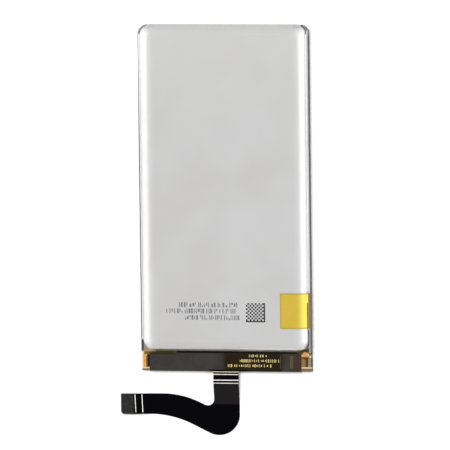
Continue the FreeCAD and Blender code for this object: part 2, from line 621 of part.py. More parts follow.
def tail_stiffener():
    """Plate on the end of the arm, above the plug."""
    low = (ARM_END_X, ARM_Y - ARM_WIDTH / 2, HOUSING_HEIGHT + FLEX_THICKNESS)
    high = (ARM_END_X + PLUG_PAD_LENGTH, ARM_Y + ARM_WIDTH / 2, low[2] + STIFFENER_THICKNESS)
    corners = [(low[0], low[1], ARM_FAR_CORNER), (high[0], low[1], ARM_NEAR_CORNER)]
    corners += [(high[0], high[1], ARM_NEAR_CORNER), (low[0], high[1], ARM_NEAR_CORNER)]
    plate = outline(corners, on_plan(low[2]))
    return plate.extrude(FreeCAD.Vector(0, 0, STIFFENER_THICKNESS))


def hook(wall, lip, place):
    """Strip that lies under the tail, runs down a wall, under it and up inside the pocket."""
    outer = HOUSING_HEIGHT
    start = wall + CONTACT_FOOT
    inner = wall - HOUSING_WALL
    corners = [(start, outer - CONTACT_THICKNESS, 0), (wall, outer - CONTACT_THICKNESS, 0)]
    corners += [(wall, 0, CONTACT_BEND), (inner, 0, CONTACT_BEND), (inner, lip, 0)]
    return strip(turned(corners), CONTACT_THICKNESS, place)


def connector_contacts():
    """Two rows of contacts, as separate solids."""
    solids = []
    first = ARM_Y - (CONTACT_COUNT - 1) / 2 * CONTACT_PITCH
    for index in range(CONTACT_COUNT):
        y = first + index * CONTACT_PITCH - CONTACT_WIDTH / 2
        contact = hook(HOUSING_WIDTH / 2, CONTACT_LIP, on_end(y))
        contact = contact.extrude(FreeCAD.Vector(0, CONTACT_WIDTH, 0))
        opposite = contact.mirror(FreeCAD.Vector(0, 0, 0), FreeCAD.Vector(1, 0, 0))
        for solid in (contact, opposite):
            solid.translate(FreeCAD.Vector(PLUG_X, 0, 0))
            solids.append(solid)
    return Part.makeCompound(solids)


def connector_hold_downs():
    """A hold-down bracket at each end of the housing, as separate solids."""
    bracket = hook(HOUSING_LENGTH / 2, HOLD_DOWN_LIP, on_side(PLUG_X - HOLD_DOWN_WIDTH / 2))
    bracket = across(bracket, HOLD_DOWN_WIDTH)
    opposite = bracket.mirror(FreeCAD.Vector(0, 0, 0), FreeCAD.Vector(0, 1, 0))
    for solid in (bracket, opposite):
        solid.translate(FreeCAD.Vector(0, ARM_Y, 0))
    return Part.makeCompound([bracket, opposite])


def connector_housing(inserts):
    """Moulded plug body with a pocket below, moulded round its metal inserts."""
    half_width, half_length = HOUSING_WIDTH / 2, HOUSING_LENGTH / 2
    low = (PLUG_X - half_width, ARM_Y - half_length, 0)
    body = rounded_block(low, (PLUG_X + half_width, ARM_Y + half_length, HOUSING_HEIGHT), HOUSING_CORNER)
    pocket_low = (low[0] + HOUSING_WALL, low[1] + HOUSING_WALL, -SPARE)
    pocket_high = (PLUG_X + half_width - HOUSING_WALL, ARM_Y + half_length - HOUSING_WALL, POCKET_DEPTH)
    body = body.cut(block(pocket_low, pocket_high))
    for insert in inserts:
        body = body.cut(insert)
    return body.removeSplitter()


def build():
    """Makes every piece and writes one file for each."""
    os.makedirs("parts", exist_ok=True)
    positive_x = STRIP_CENTRE - TAB_SPACING / 2
    negative_x = STRIP_CENTRE + TAB_SPACING / 2
    contacts = connector_contacts()
    hold_downs = connector_hold_downs()
    pieces = {
        "pouch_cell": pouch_cell(),
        "terrace_film": terrace_film(),
        "wrap_tape": wrap_tape(),
        "side_tape": side_tape(),
        "insulating_pad": insulating_pad(),
        "protection_board": protection_board(),
        "positive_tab": tab(positive_x),
        "negative_tab": tab(negative_x),
        "positive_tab_sealant": tab_sealant(positive_x),
        "negative_tab_sealant": tab_sealant(negative_x),
        "positive_weld_plate": weld_plate(positive_x),
        "negative_weld_plate": weld_plate(negative_x),
        "flex_circuit": flex_circuit(),
        "tail_stiffener": tail_stiffener(),
        "connector_contacts": contacts,
        "connector_hold_downs": hold_downs,
        "connector_housing": connector_housing([contacts, hold_downs]),
    }
    pieces.update(circuit_parts())
    for name, shape in pieces.items():
        save(name, shape)


build()
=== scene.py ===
"""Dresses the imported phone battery: its finishes, printed marks, stripes and tape folds, and the studio."""

from __future__ import annotations

import logging
import math
import random
from dataclasses import dataclass, field, replace
from enum import Enum

import bmesh
import bpy
from mathutils import Matrix, Quaternion, Vector

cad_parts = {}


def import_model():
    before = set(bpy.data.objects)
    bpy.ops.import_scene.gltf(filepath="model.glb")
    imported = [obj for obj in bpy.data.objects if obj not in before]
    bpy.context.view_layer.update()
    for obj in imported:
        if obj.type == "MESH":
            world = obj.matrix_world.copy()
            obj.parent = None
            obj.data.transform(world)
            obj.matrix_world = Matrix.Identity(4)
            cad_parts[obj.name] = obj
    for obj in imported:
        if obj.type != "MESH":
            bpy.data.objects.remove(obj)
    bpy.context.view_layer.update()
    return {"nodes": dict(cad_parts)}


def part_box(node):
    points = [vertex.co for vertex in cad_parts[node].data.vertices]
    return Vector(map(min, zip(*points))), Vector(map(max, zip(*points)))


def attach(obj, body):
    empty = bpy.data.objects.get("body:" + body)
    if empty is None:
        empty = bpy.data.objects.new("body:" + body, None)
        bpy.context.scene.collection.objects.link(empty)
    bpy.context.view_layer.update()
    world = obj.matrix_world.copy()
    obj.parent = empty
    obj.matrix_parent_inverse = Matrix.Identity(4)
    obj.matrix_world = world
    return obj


LOG = logging.getLogger("battery")
MM = 0.001
GRAIN_DETAIL = 3.0         # octaves of the fine relief
GLOSS_DETAIL = 4.0         # octaves of the roughness
GLOSS_FINER = 3            # the roughness changes this much finer than the colour
GLOSS_SPREAD = (0.3, 0.7)  # range of the noise that the roughness follows
DOT_SIDES = 12             # sides of a round dot
UPWARD = 0.3               # a face that points up at least this much counts as upper surface
WELD = 0.0005              # points this near to each other are one, in millimetres
Pair = tuple[float, float]
Triple = tuple[float, float, float]
Colour = Triple            # red, green and blue as a screen shows them, from 0 to 255
Bands = tuple[tuple[float, float, Colour], ...]
Node = bpy.types.Node
Socket = bpy.types.NodeSocket
Thing = bpy.types.Object
Mesh = bmesh.types.BMesh


def light_of(colour: Colour) -> Colour:
    """Turns a colour as a screen shows it into the light that a shader takes, as shares of full light."""
    shares = [value / 255 for value in colour]
    return tuple(s / 12.92 if s <= 0.04045 else ((s + 0.055) / 1.055) ** 2.4 for s in shares)


class Grain(Enum):
    """How a finish's fine relief runs, as its stretch along X, Y and Z."""

    EVEN = (1.0, 1.0, 1.0)
    ALONG_CELL = (1.0, 0.08, 1.0)
    ALONG_STRIP = (0.08, 1.0, 1.0)


class Axis(Enum):
    """A way that a surface can face, by the name of its output."""

    ACROSS = "X"
    ALONG = "Y"


@dataclass
class Bench:
    """Node bench for one material: its methods add nodes and hand back outputs. Lengths in millimetres.

    Attributes:
        material: The material whose nodes are laid out.
        shader: Its shader.
        place: The place on the object, in metres.
        across: That place along X.
        along: That place along Y.
    """

    material: bpy.types.Material
    shader: Node = field(init=False)
    place: Socket = field(init=False)
    across: Socket = field(init=False)
    along: Socket = field(init=False)

    def __post_init__(self) -> None:
        """Clears the tree and puts in the shader, its output and the object's coordinates."""
        self.material.use_nodes = True
        self.material.node_tree.nodes.clear()
        self.shader = self.node("ShaderNodeBsdfPrincipled")
        self.node("ShaderNodeOutputMaterial", {"Surface": self.shader.outputs["BSDF"]})
        self.place = self.node("ShaderNodeTexCoord").outputs["Object"]
        self.across, self.along, _ = self.node("ShaderNodeSeparateXYZ", {0: self.place}).outputs

    def fill(self, socket: Socket, value: Socket | float | Colour) -> None:
        """Gives a socket a link, a number or a colour.

        Args:
            socket: The input that is filled.
            value: Another node's output, or the value itself.
        """
        if isinstance(value, Socket):
            self.material.node_tree.links.new(value, socket)
        elif isinstance(value, tuple):
            socket.default_value = (*light_of(value), 1.0)
        else:
            socket.default_value = value

    def node(self, kind: str, values: dict[str | int, Socket | float] | None = None) -> Node:
        """Adds a node.

        Args:
            kind: Blender's name of its kind.
            values: What its inputs take, by their names or places.

        Returns:
            The node.
        """
        node = self.material.node_tree.nodes.new(kind)
        for name, value in (values or {}).items():
            self.fill(node.inputs[name], value)
        return node

    def noise(self, size: float, detail: float = 2.0, grain: Grain = Grain.EVEN) -> Socket:
        """Adds a noise whose lumps are about the given size.

        Args:
            size: Size of a lump.
            detail: Octaves of finer lumps.
            grain: Which way the lumps are drawn out.

        Returns:
            The noise from 0 to 1.
        """
        mapping = self.node("ShaderNodeMapping", {"Vector": self.place})
        mapping.inputs["Scale"].default_value = grain.value
        lumps = {"Vector": mapping.outputs["Vector"], "Scale": 1.0 / (size * MM), "Detail": detail}
        return self.node("ShaderNodeTexNoise", lumps).outputs["Fac"]

    def math(self, operation: str, first: Socket | float, second: Socket | float = 0.0) -> Socket:
        """Adds a sum, product or other step on one or two numbers.

        Args:
            operation: Blender's name of the step.
            first: The first number or output.
            second: The second number or output.

        Returns:
            The result.
        """
        step = self.node("ShaderNodeMath", {0: first, 1: second})
        step.operation = operation
        return step.outputs[0]

    def spread(
        self, value: Socket, low: float, high: float, out_low: float = 0.0, out_high: float = 1.0
    ) -> Socket:
        """Maps one range onto another, smoothly at its ends.

        Args:
            value: The output that is mapped.
            low: Start of the range read.
            high: End of the range read.
            out_low: What the start becomes.
            out_high: What the end becomes.

        Returns:
            The mapped number.
        """
        ends = {"From Min": low, "From Max": high, "To Min": out_low, "To Max": out_high}
        step = self.node("ShaderNodeMapRange", {"Value": value, **ends})
        step.interpolation_type = "SMOOTHSTEP"
        return step.outputs["Result"]

    def ramp(self, place: Socket, low: float, high: float, falling: bool = False) -> Socket:
        """Rises from 0 to 1 between two places, given in millimetres, or falls from 1 to 0."""
        ends = (1.0, 0.0) if falling else (0.0, 1.0)
        return self.spread(place, low * MM, high * MM, *ends)

    def beyond(self, place: Socket, where: float, soft: float = 0.02) -> Socket:
        """Gives 1 past a place and 0 before it; the change reaches as far as soft to each side."""
        return self.ramp(place, where - soft, where + soft)

    def band(self, place: Socket, low: float, high: float, soft: float = 0.02) -> Socket:
        """Gives 1 between two places and 0 outside them, with both changes as soft as beyond's."""
        return self.math("SUBTRACT", self.beyond(place, low, soft), self.beyond(place, high, soft))

    def both(self, first: Socket, second: Socket | float) -> Socket:
        """Gives the share in which two shares overlap, which is their product."""
        return self.math("MULTIPLY", first, second)

    def facing(self, axis: Axis) -> Socket:
        """Reads how far the surface faces one way, from -1 to 1."""
        normal = self.node("ShaderNodeNewGeometry").outputs["Normal"]
        return self.node("ShaderNodeSeparateXYZ", {0: normal}).outputs[axis.value]

    def mix(self, share: Socket, first: Socket | Colour, second: Socket | Colour) -> Socket:
        """Blends two colours.

        Args:
            share: How much of the second colour shows.
            first: The colour at 0.
            second: The colour at 1.

        Returns:
            The blended colour.
        """
        step = self.node("ShaderNodeMix", {"Factor": share})
        step.data_type = "RGBA"
        ends = [socket for socket in step.inputs if socket.type == "RGBA"]
        self.fill(ends[0], first)
        self.fill(ends[1], second)
        return next(socket for socket in step.outputs if socket.type == "RGBA")

    def bump(self, height: Socket, distance: float, under: Socket | None = None) -> Socket:
        """Turns a height into relief.

        Args:
            height: Height from 0 to 1.
            distance: What a height of 1 stands for.
            under: Relief that this one lies on.

        Returns:
            The bent surface direction.
        """
        step = self.node("ShaderNodeBump", {"Distance": distance * MM, "Height": height})
        if under is not None:
            self.fill(step.inputs["Normal"], under)
        return step.outputs["Normal"]


@dataclass(frozen=True)
class Finish:
    """A surface finish: two drifting colours, a gloss that varies and a fine relief. Sizes in millimetres.

    Attributes:
        name: Name of the material.
        colour: Main colour.
        second: Colour that the slow cloud brings in.
        gloss: Lowest and highest roughness.
        metallic: Share of metal.
        specular: Strength of the reflection on what isn't metal.
        cloud: Size of the slow cloud.
        drift: Range of the cloud over which the second colour comes in.
        fine: Size and height of the fine relief.
        grain: Which way the fine relief runs.
        rim_rough: Roughness added towards the battery's long edges.
        rim_span: Distance from the middle over which it comes in.
    """

    name: str
    colour: Colour
    second: Colour
    gloss: Pair = (0.3, 0.45)
    metallic: float = 0.0
    specular: float = 0.5
    cloud: float = 5.0
    drift: Pair = (0.35, 0.65)
    fine: Pair = (0.15, 0.003)
    grain: Grain = Grain.EVEN
    rim_rough: float = 0.0
    rim_span: Pair = (19.0, 21.0)

    def ground(self, bench: Bench) -> Socket:
        """Lays out the two colours that drift into each other."""
        return bench.mix(bench.spread(bench.noise(self.cloud), *self.drift), self.colour, self.second)

    def tint(self, bench: Bench) -> Socket:
        """Lays out the colour: the ground, to which a finish may add."""
        return self.ground(bench)

    def form(self, bench: Bench) -> Socket | None:
        """Lays out the larger relief under the grain, where a finish has one."""
        return None

    def relief(self, bench: Bench) -> Socket:
        """Lays out the fine grain on the larger relief."""
        size, height = self.fine
        return bench.bump(bench.noise(size, GRAIN_DETAIL, self.grain), height, self.form(bench))

    def shine(self, bench: Bench) -> Socket:
        """Lays out the roughness.

        Args:
            bench: The material's bench.

        Returns:
            The roughness.
        """
        lumps = bench.noise(self.cloud / GLOSS_FINER, GLOSS_DETAIL, self.grain)
        even = bench.spread(lumps, *GLOSS_SPREAD, *self.gloss)
        if self.rim_rough == 0:
            return even
        aside = bench.math("ABSOLUTE", bench.across)
        start, end = self.rim_span
        return bench.math("ADD", even, bench.spread(aside, start * MM, end * MM, 0.0, self.rim_rough))

    def material(self) -> bpy.types.Material:
        """Makes the material, with colour, gloss and relief from its nodes.

        Returns:
            The material.
        """
        material = bpy.data.materials.new(self.name)
        bench = Bench(material)
        for name, value in (
            ("Base Color", self.tint(bench)),
            ("Roughness", self.shine(bench)),
            ("Normal", self.relief(bench)),
            ("Metallic", self.metallic),
            ("Specular IOR Level", self.specular),
        ):
            bench.fill(bench.shader.inputs[name], value)
        return material


@dataclass(frozen=True)
class PouchFoil(Finish):
    """Satin laminate of the pouch, darker on the folded seals as painted shade. Places and heights are in
    millimetres.

    Attributes:
        head: Painted light: the face is lighter towards the plain end; this colour comes in over head_light_y
            and up to head_light_share.
        end: Painted shade on the rounded plain end, by how far the surface faces that way.
        film: X range, softness and colour of the amber film on the end wall, which fades out over film_y.
        seal: Painted shade on the right seal's outer face past seal_shade_x, by how far the surface faces
            across.
        rim: Colour of the right seal's rim past rim_x, which fades out over rim_y.
        left_seal: Painted shade on the left seal, up to left_shade_x; over left_shade_y it lightens to
            left_shade_head.
        dent_size: Size of the shallow dents, which are dent_height deep.
        roll_off: How far the face seems to sink at its long edges, over left_roll and right_roll.
    """

    drift: Pair = (0.3, 0.7)
    head: Colour = (232, 232, 231)
    head_light_y: Pair = (10.0, 46.0)
    head_light_share: float = 0.55
    end: Colour = (176, 176, 175)
    end_shade_facing: Pair = (0.5, 0.95)
    film_y: Pair = (-45.4, -44.8)
    film: tuple[tuple[float, float, float, Colour], ...] = (
        (-25.6, -16.2, 1.6, (214, 192, 156)),
        (20.1, 25.0, 0.9, (128, 116, 92)),
    )
    seal: Colour = (66, 66, 70)
    seal_shade_x: float = 23.6
    seal_shade_facing: Pair = (0.5, 0.85)
    rim: Colour = (168, 168, 168)
    rim_x: float = 23.36
    rim_y: Pair = (-40.0, -38.5)
    left_seal: Colour = (112, 112, 114)
    left_shade_head: Colour = (206, 206, 206)
    left_shade_x: float = -23.74
    left_shade_y: Pair = (12.0, 40.0)
    dent_size: float = 16.0
    dent_height: float = 0.012
    roll_off: float = 0.3
    left_roll: Pair = (-22.9, -19.9)
    right_roll: Pair = (19.5, 22.5)

    def tint(self, bench: Bench) -> Socket:
        """Lays out the colour, from the sealed end to the plain end and onto the seals.

        Args:
            bench: The material's bench.

        Returns:
            The colour.
        """
        # Painted light: the face is lighter towards the plain end.
        to_head_light = bench.both(bench.ramp(bench.along, *self.head_light_y), self.head_light_share)
        face = bench.mix(to_head_light, self.ground(bench), self.head)
        # Painted shade: the rounded plain end is darkened where it faces along the cell.
        face = bench.mix(bench.spread(bench.facing(Axis.ALONG), *self.end_shade_facing), face, self.end)
        film = bench.ramp(bench.along, *self.film_y, falling=True)
        for low, high, soft, colour in self.film:
            face = bench.mix(bench.both(film, bench.band(bench.across, low, high, soft)), face, colour)
        rim = bench.ramp(bench.along, *self.rim_y, falling=True)
        face = bench.mix(bench.both(rim, bench.beyond(bench.across, self.rim_x)), face, self.rim)
        # Painted shade: the right seal's outer face is darkened where it faces across.
        outward = bench.spread(bench.facing(Axis.ACROSS), *self.seal_shade_facing)
        face = bench.mix(bench.both(bench.beyond(bench.across, self.seal_shade_x), outward), face, self.seal)
        # Painted shade: the left seal is darkened, less so towards the plain end.
        left = bench.math("SUBTRACT", 1.0, bench.beyond(bench.across, self.left_shade_x))
        side = bench.mix(bench.ramp(bench.along, *self.left_shade_y), self.left_seal, self.left_shade_head)
        return bench.mix(left, face, side)

    def form(self, bench: Bench) -> Socket:
        """Lays out the soft roll-off at both long edges, with shallow dents on it.

        Args:
            bench: The material's bench.

        Returns:
            The surface direction.
        """
        left = bench.ramp(bench.across, *self.left_roll)
        right = bench.ramp(bench.across, *self.right_roll, falling=True)
        edges = bench.bump(bench.both(left, right), self.roll_off)
        return bench.bump(bench.noise(self.dent_size, 1.0), self.dent_height, edges)


@dataclass(frozen=True)
class CircuitCover(Finish):
    """Dark cover film of the flexible circuit: brown-grey on the strip, black on the tail.

    Three figures for X or Y are a low place, a high one and a softness; two are a place and a softness.

    Attributes:
        brown: Colour round the gold ticks, within brown_x.
        violet: Colour of the strip's right end, past violet_x.
        edge: Colour of the strip's inner edge, past edge_y and within edge_x.
        foot: Painted shade along the strip's outer edge above the leg, within foot_shade_x and foot_shade_y.
        strip_end: Y of the strip's outer edge.
        slope_light: Painted light where the tail slopes down to the floor, past slope_light_x and within
            slope_light_y.
        tail: Colour of the rest of the tail.
        track_pitch: Distance between the copper tracks, which show as ridges of track_height over track_x.
        track_crest: Range of the wave over which a ridge rises.
    """

    brown: Colour = (28, 24, 14)
    brown_x: Triple = (-1.0, 15.6, 1.0)
    violet: Colour = (52, 41, 34)
    violet_x: Pair = (18.9, 0.5)
    edge: Colour = (46, 34, 18)
    edge_x: Triple = (-21.8, -14.4, 0.8)
    edge_y: Pair = (-46.95, 0.2)
    foot: Colour = (16, 8, 3)
    foot_shade_x: Triple = (-5.2, 5.8, 0.6)
    foot_shade_y: Triple = (-51.92, -51.1, 0.1)
    strip_end: float = -51.62
    slope_light: Colour = (24, 21, 22)
    slope_light_x: Pair = (-4.2, 0.1)
    slope_light_y: Triple = (-61.1, -55.3, 0.4)
    tail: Colour = (2, 2, 3)
    track_pitch: float = 0.62
    track_height: float = 0.012
    track_x: Pair = (-4.05, 3.05)
    track_crest: Pair = (0.2, 0.6)

    def tint(self, bench: Bench) -> Socket:
        """Lays out the colour by the place along the tail.

        Args:
            bench: The material's bench.

        Returns:
            The colour.
        """
        strip = bench.mix(bench.band(bench.across, *self.brown_x), self.ground(bench), self.brown)
        strip = bench.mix(bench.beyond(bench.across, *self.violet_x), strip, self.violet)
        edge = bench.both(bench.beyond(bench.along, *self.edge_y), bench.band(bench.across, *self.edge_x))
        strip = bench.mix(edge, strip, self.edge)
        # Painted shade: a dark line along the strip's outer edge where the tail leaves it.
        foot = bench.both(bench.band(bench.along, *self.foot_shade_y), bench.band(bench.across, *self.foot_shade_x))
        strip = bench.mix(foot, strip, self.foot)
        # Painted light: the stretch where the tail slopes down is lighter than the rest of the black tail.
        slope_light = bench.both(bench.band(bench.along, *self.slope_light_y), bench.beyond(bench.across, *self.slope_light_x))
        tail = bench.mix(slope_light, self.tail, self.slope_light)
        return bench.mix(bench.beyond(bench.along, self.strip_end), tail, strip)

    def form(self, bench: Bench) -> Socket:
        """Lays out faint ridges over the copper tracks.

        Args:
            bench: The material's bench.

        Returns:
            The surface direction.
        """
        turns = bench.math("MULTIPLY", bench.across, 2 * math.pi / (self.track_pitch * MM))
        ridges = bench.spread(bench.math("SINE", turns), *self.track_crest)
        return bench.bump(bench.both(ridges, bench.band(bench.across, *self.track_x)), self.track_height)


@dataclass(frozen=True)
class Banded(Finish):
    """Film whose colour changes in bands, first across the battery and then along it. In millimetres.

    Attributes:
        across: Low X, high X and colour of each band.
        along: Low Y, high Y and colour of each band, where X is 0.
        soft: Half the width of each change.
        skew: How far those Y bands rise for each millimetre of X.
    """

    drift: Pair = (0.4, 0.6)
    across: Bands = ()
    along: Bands = ()
    soft: float = 0.1
    skew: float = 0.007

    def tint(self, bench: Bench) -> Socket:
        """Lays the bands over the film's own drifting colour.

        Args:
            bench: The material's bench.

        Returns:
            The colour.
        """
        film = self.ground(bench)
        level = bench.math("SUBTRACT", bench.along, bench.math("MULTIPLY", bench.across, self.skew))
        for place, bands in ((bench.across, self.across), (level, self.along)):
            for low, high, colour in bands:
                film = bench.mix(bench.band(place, low, high, self.soft), film, colour)
        return film


@dataclass(frozen=True)
class PatchFilm(Finish):
    """Yellow patch: painted brown shade where it goes down the seal, and painted shade in the crease where it
    is pressed into the gap.

    Attributes:
        border: Colour along the patch's three edges on the face, outside inner_x and inner_y.
        roll: Lighter, greener colour where the film rolls over the cell's edge, over roll_highlight_x: a
            painted highlight tint.
        rim: Painted shade on the seal's rim, past rim_x.
        wall: Painted shade on the seal's outer face, by how far the surface faces across.
        crease: Painted shade in the crease, within crease_shade_x; it fades out over crease_shade_y.
        roll_off: How far in millimetres the film seems to sink over roll_off_x, at the cell's edge.
    """

    drift: Pair = (0.3, 0.7)
    border: Colour = (196, 172, 84)
    inner_x: Pair = (15.87, 0.12)
    inner_y: Triple = (-38.69, -29.36, 0.12)
    roll: Colour = (226, 210, 96)
    roll_highlight_x: Pair = (20.0, 21.3)
    rim: Colour = (125, 106, 64)
    rim_x: Pair = (23.3, 0.12)
    wall: Colour = (104, 86, 58)
    wall_shade_facing: Pair = (0.85, 0.98)
    crease: Colour = (96, 84, 30)
    crease_shade_x: Triple = (22.98, 23.26, 0.06)
    crease_shade_y: Pair = (-32.1, -31.6)
    roll_off: float = 0.3
    roll_off_x: Pair = (19.5, 22.5)

    def tint(self, bench: Bench) -> Socket:
        """Lays out the flat colour, the crease and the part on the seal.

        Args:
            bench: The material's bench.

        Returns:
            The colour.
        """
        # Painted highlight: the colour is lighter and greener where the highlight falls on the roll.
        film = bench.mix(bench.ramp(bench.across, *self.roll_highlight_x), self.ground(bench), self.roll)
        inside = bench.both(bench.beyond(bench.across, *self.inner_x), bench.band(bench.along, *self.inner_y))
        film = bench.mix(inside, self.border, film)
        # Painted shade: the film is brown where it turns over the seal's rim.
        film = bench.mix(bench.beyond(bench.across, *self.rim_x), film, self.rim)
        # Painted shade: a dark line where the film is pressed into the gap.
        fading = bench.ramp(bench.along, *self.crease_shade_y, falling=True)
        film = bench.mix(bench.both(bench.band(bench.across, *self.crease_shade_x), fading), film, self.crease)
        # Painted shade: the film is brown on the seal's outer face.
        return bench.mix(bench.spread(bench.facing(Axis.ACROSS), *self.wall_shade_facing), film, self.wall)

    def form(self, bench: Bench) -> Socket:
        """Lays out the soft roll-off at the cell's edge."""
        return bench.bump(bench.ramp(bench.across, *self.roll_off_x, falling=True), self.roll_off)


FOIL = PouchFoil(
    "foil_satin", (222, 221, 220), (226, 226, 226),
    gloss=(0.36, 0.42), metallic=0.92, cloud=18.0, fine=(0.12, 0.0015), rim_rough=0.14,
)
# Painted shade: the turned seal ends are darker than the pouch laminate, the right end more than the left.
SHADED_FOIL_CORNER = Finish(
    "foil_corner_painted_shade", (136, 136, 139), (148, 148, 151),
    gloss=(0.36, 0.42), metallic=0.92, cloud=2.0, fine=(0.12, 0.0015),
)
PALE_SHADED_CORNER = replace(
    SHADED_FOIL_CORNER, name="pale_corner_painted_shade", colour=(168, 168, 170), second=(182, 182, 183), gloss=(0.4, 0.46),
)
# Painted light: a pale strip in the gap beside each seal, so that the gap reads light.
PALE_GAP_FILL = Finish(
    "gap_fill_painted_light", (236, 236, 234), (228, 228, 225),
    gloss=(0.35, 0.5), specular=0.4, cloud=3.0, fine=(0.2, 0.004),
)
YELLOW_TAPE = PatchFilm(
    "tape_yellow", (226, 194, 70), (230, 196, 82),
    gloss=(0.36, 0.42), metallic=0.85, cloud=3.0, fine=(0.5, 0.002), rim_rough=0.14,
)
# Painted light and shade in the wrap's bands: the cream band at the left fold, the pale band at the right
# fold and the cream band along the lower fold are painted highlights; the dark bands beside each end of the
# strip are its painted shadow; the darker band outside the right fold and the olive band under the lower fold
# are painted shade.
AMBER_WRAP = Banded(
    "tape_amber", (216, 168, 100), (200, 150, 84),
    metallic=0.6, cloud=1.2, fine=(0.6, 0.012), soft=0.12,
    across=(
        (-24.6, -23.68, (232, 208, 168)),
        (-22.9, -22.4, (104, 70, 32)),
        (-22.45, -21.7, (24, 12, 2)),
        (20.5, 22.05, (140, 108, 74)),
        (22.05, 22.95, (78, 60, 30)),
        (22.95, 23.55, (150, 138, 110)),
        (23.55, 24.6, (96, 90, 74)),
    ),
    along=((-50.84, -50.44, (222, 198, 160)), (-52.4, -50.84, (116, 108, 78))),
)
# Painted shade: the film is dark from X -14.4 to 19.8 mm, the shade in the gap between the cup and the strip.
AMBER_FILM = Banded(
    "film_amber", (128, 108, 58), (108, 90, 38),
    metallic=0.4, cloud=2.0, fine=(0.5, 0.012), soft=0.12,
    across=((-14.4, 19.8, (20, 14, 8)),), along=((-46.17, -44.0, (158, 148, 132)),), skew=-0.004,
)
COPPER_FOLD = Banded(
    "fold_copper", (176, 130, 82), (150, 106, 60),
    metallic=0.6, cloud=0.7, fine=(0.4, 0.01), soft=0.2,
    across=((20.0, 21.5, (110, 72, 34)),),
)
# Painted shade: the lower half of the pucker is darker brown.
PUCKER_FILM = Banded(
    "pucker_copper", (206, 160, 108), (184, 138, 86),
    gloss=(0.3, 0.42), metallic=0.5, cloud=0.5, fine=(0.3, 0.01), soft=0.25,
    along=((-48.6, -47.45, (88, 52, 16)),),
)
# Painted highlight: the pale colours of the small flaps at the ends of the strip.
CREAM_HIGHLIGHT_FLAP = Finish(
    "flap_cream_painted_highlight", (214, 190, 152), (200, 178, 142), metallic=0.5, cloud=1.2, fine=(0.3, 0.006),
)
YELLOW_HIGHLIGHT_FLAP = replace(CREAM_HIGHLIGHT_FLAP, name="flap_yellow_green_painted_highlight", colour=(202, 180, 112), second=(188, 166, 96))
CIRCUIT = CircuitCover(
    "cover_dark", (50, 48, 45), (45, 43, 40),
    gloss=(0.5, 0.62), specular=0.03, cloud=3.0, fine=(0.1, 0.002),
)
BOARD = Finish(
    "board_edge", (70, 62, 40), (52, 46, 32),
    gloss=(0.55, 0.7), specular=0.3, cloud=0.6, fine=(0.08, 0.006), grain=Grain.ALONG_STRIP,
)
STIFFENER = Finish(
    "stiffener_grey", (36, 36, 35), (31, 31, 30),
    gloss=(0.45, 0.6), specular=0.06, cloud=0.9, fine=(0.12, 0.003), grain=Grain.ALONG_CELL,
)
PLUG_PLASTIC = Finish(
    "plug_moulding", (34, 33, 32), (42, 41, 39),
    gloss=(0.42, 0.58), specular=0.4, cloud=0.8, fine=(0.06, 0.002),
)
GOLD_CONTACT = Finish(
    "contact_gold", (232, 196, 112), (214, 172, 84),
    gloss=(0.18, 0.3), metallic=1.0, cloud=0.4, fine=(0.05, 0.0008),
)
NICKEL = Finish(
    "nickel_strip_rolled", (196, 190, 178), (180, 174, 162),
    gloss=(0.25, 0.4), metallic=1.0, cloud=1.0, fine=(0.08, 0.0015), grain=Grain.ALONG_CELL,
)
ALUMINIUM = replace(
    NICKEL, name="aluminium_strip_rolled", colour=(216, 217, 219), second=(200, 201, 204), gloss=(0.22, 0.38),
)
SEALING = Finish("sealing_film_white", (214, 208, 190), (196, 186, 160), cloud=0.8, fine=(0.2, 0.004))
FIBRE = Finish(
    "pad_fibre", (206, 196, 168), (186, 174, 142),
    gloss=(0.7, 0.85), specular=0.2, cloud=0.9, fine=(0.12, 0.012), grain=Grain.ALONG_STRIP,
)
MOULDING = Finish(
    "part_moulding", (30, 30, 31), (38, 38, 39),
    gloss=(0.5, 0.65), specular=0.35, cloud=0.5, fine=(0.05, 0.002),
)
CAPACITOR = Finish(
    "capacitor_tan", (168, 132, 92), (150, 116, 80),
    gloss=(0.45, 0.6), specular=0.4, cloud=0.3, fine=(0.05, 0.0015),
)
RESISTOR = Finish("resistor_dark", (36, 34, 40), (52, 50, 56), cloud=0.3, fine=(0.05, 0.001))
PRINT_GREY = Finish(
    "print_grey", (90, 90, 94), (104, 104, 108),
    gloss=(0.6, 0.75), specular=0.2, cloud=0.5, fine=(0.06, 0.001),
)
PRINT_DARK = replace(PRINT_GREY, name="print_dark", colour=(30, 30, 33), second=(42, 42, 45))
MARK_GOLD = Finish(
    "mark_gold", (192, 172, 122), (172, 150, 98),
    gloss=(0.4, 0.55), specular=0.2, cloud=0.4, fine=(0.05, 0.001),
)
# Painted glints: the dull gold bar and the thin line near the strip's right end.
GLINT_GOLD = Finish(
    "glint_gold_dull", (76, 64, 40), (64, 54, 34),
    gloss=(0.35, 0.5), metallic=0.3, cloud=0.4, fine=(0.06, 0.001),
)
STRIPE_WHITE = Finish(
    "stripe_white", (204, 201, 198), (192, 188, 184),
    gloss=(0.5, 0.62), specular=0.3, cloud=0.8, fine=(0.08, 0.001),
)
LINE_WHITE = replace(STRIPE_WHITE, name="line_white", colour=(240, 238, 236), second=(226, 224, 221))
STRIPE_TAN = replace(STRIPE_WHITE, name="stripe_tan", colour=(222, 206, 182), second=(206, 188, 162))
FLOOR = Finish(
    "floor_pale", (224.61, 224.61, 224.61), (223.28, 223.28, 223.28),
    gloss=(0.8, 0.9), specular=0.1, cloud=60.0, fine=(1.5, 0.002),
)


